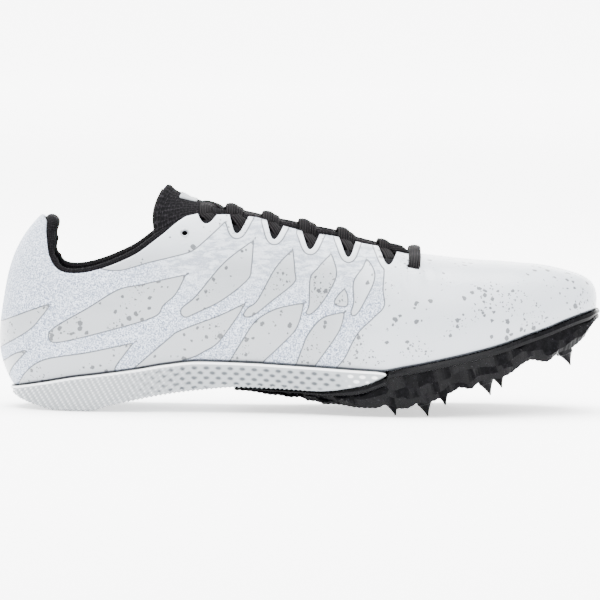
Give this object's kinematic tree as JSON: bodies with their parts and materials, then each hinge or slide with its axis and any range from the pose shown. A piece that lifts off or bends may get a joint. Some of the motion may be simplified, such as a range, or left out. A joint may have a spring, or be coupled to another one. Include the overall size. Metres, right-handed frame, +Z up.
{
  "type": "track spike shoe",
  "caption": "White track spike shoe for the right foot, with a thin moulded upper, a foam heel wedge, a black spiked forefoot plate and flat black laces.",
  "frame": {"origin": "the flat spot under the heel that rests on the floor", "axes": "+X towards the toe, +Z up, +Y towards the inner side of the foot"},
  "size_m": [0.2892, 0.0951, 0.1081],
  "materials": {
    "upper_film": "satin",
    "collar_knit": "matte",
    "tongue_knit": "matte",
    "insole_cloth": "matte",
    "wedge_foam": "matte",
    "plate_nylon": "gloss",
    "pin_steel": "satin",
    "lace_ribbon": "matte",
    "loop_webbing": "matte"
  },
  "bodies": {
    "root": {"upper": "upper_film", "collar_lining": "collar_knit", "tongue": "tongue_knit", "insole": "insole_cloth", "wedge": "wedge_foam", "spike_plate": "plate_nylon", "pin_outer_1": "pin_steel", "pin_outer_2": "pin_steel", "pin_outer_3": "pin_steel", "pin_outer_4": "pin_steel", "pin_inner_1": "pin_steel", "pin_inner_2": "pin_steel", "pin_inner_3": "pin_steel", "lace_bar": "lace_ribbon", "lace_cross_1": "lace_ribbon", "lace_cross_2": "lace_ribbon", "lace_cross_3": "lace_ribbon", "lace_cross_4": "lace_ribbon", "lace_cross_5": "lace_ribbon", "lace_loop_outer_1": "loop_webbing", "lace_loop_outer_2": "loop_webbing", "lace_loop_outer_3": "loop_webbing", "lace_loop_outer_4": "loop_webbing", "lace_loop_outer_5": "loop_webbing", "lace_loop_outer_6": "loop_webbing", "lace_loop_inner_1": "loop_webbing", "lace_loop_inner_2": "loop_webbing", "lace_loop_inner_3": "loop_webbing", "lace_loop_inner_4": "loop_webbing", "lace_loop_inner_5": "loop_webbing", "lace_loop_inner_6": "loop_webbing"}
  },
  "joints": []
}
